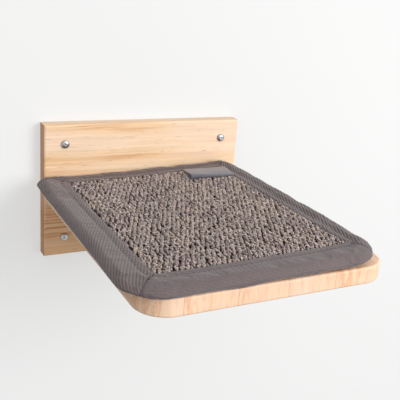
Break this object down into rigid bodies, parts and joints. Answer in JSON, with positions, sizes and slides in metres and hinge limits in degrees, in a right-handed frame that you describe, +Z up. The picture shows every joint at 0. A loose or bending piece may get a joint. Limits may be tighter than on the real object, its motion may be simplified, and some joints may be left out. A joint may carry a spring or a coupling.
{
  "type": "wall mounted cat step",
  "caption": "Wall mounted wooden cat step: a back board screwed to the wall, a cantilevered shelf board and a bound sisal mat that lifts off.",
  "frame": {"origin": "middle of the back board's rear face, on the wall plane and on the shelf's mid height", "axes": "+Z up, +X to the right seen from the room, +Y into the wall, so the shelf stands out along -Y"},
  "size_m": [0.275, 0.3765, 0.165],
  "materials": {
    "back_board_wood": "oiled satin, long grain across the board",
    "shelf_board_wood": "oiled satin, end grain at the front",
    "wall_screw_steel": "zinc plated",
    "shelf_screw_steel": "zinc plated",
    "dowel_wood": "plain beech",
    "hook_tape": "woven tape with nylon hooks",
    "loop_tape": "brushed loop pile",
    "backing_cloth": "plain woven cotton",
    "felt_core": "needled felt",
    "sisal_weave": "coarse woven sisal loops",
    "binding_twill": "ribbed cotton twill",
    "tag_cloth": "smooth woven ribbon"
  },
  "bodies": {
    "wall_frame": {"back_board": "back_board_wood", "shelf_board": "shelf_board_wood", "dowel_1": "dowel_wood", "dowel_2": "dowel_wood", "hook_strip_left": "hook_tape", "hook_strip_right": "hook_tape", "shelf_screw_1": "shelf_screw_steel", "shelf_screw_2": "shelf_screw_steel", "shelf_screw_3": "shelf_screw_steel", "wall_screw_bottom_left": "wall_screw_steel", "wall_screw_bottom_right": "wall_screw_steel", "wall_screw_top_left": "wall_screw_steel", "wall_screw_top_right": "wall_screw_steel"},
    "mat": {"binding_back": "binding_twill", "binding_front": "binding_twill", "binding_left": "binding_twill", "binding_right": "binding_twill", "label_tag": "tag_cloth", "loop_strip_left": "loop_tape", "loop_strip_right": "loop_tape", "mat_backing": "backing_cloth", "mat_core": "felt_core", "sisal_panel": "sisal_weave"}
  },
  "joints": [
    {"name": "mat_lift", "type": "slide", "parent": "wall_frame", "child": "mat", "axis": [0, -0.5, 0.866], "range_m": [0, 0.1]}
  ]
}
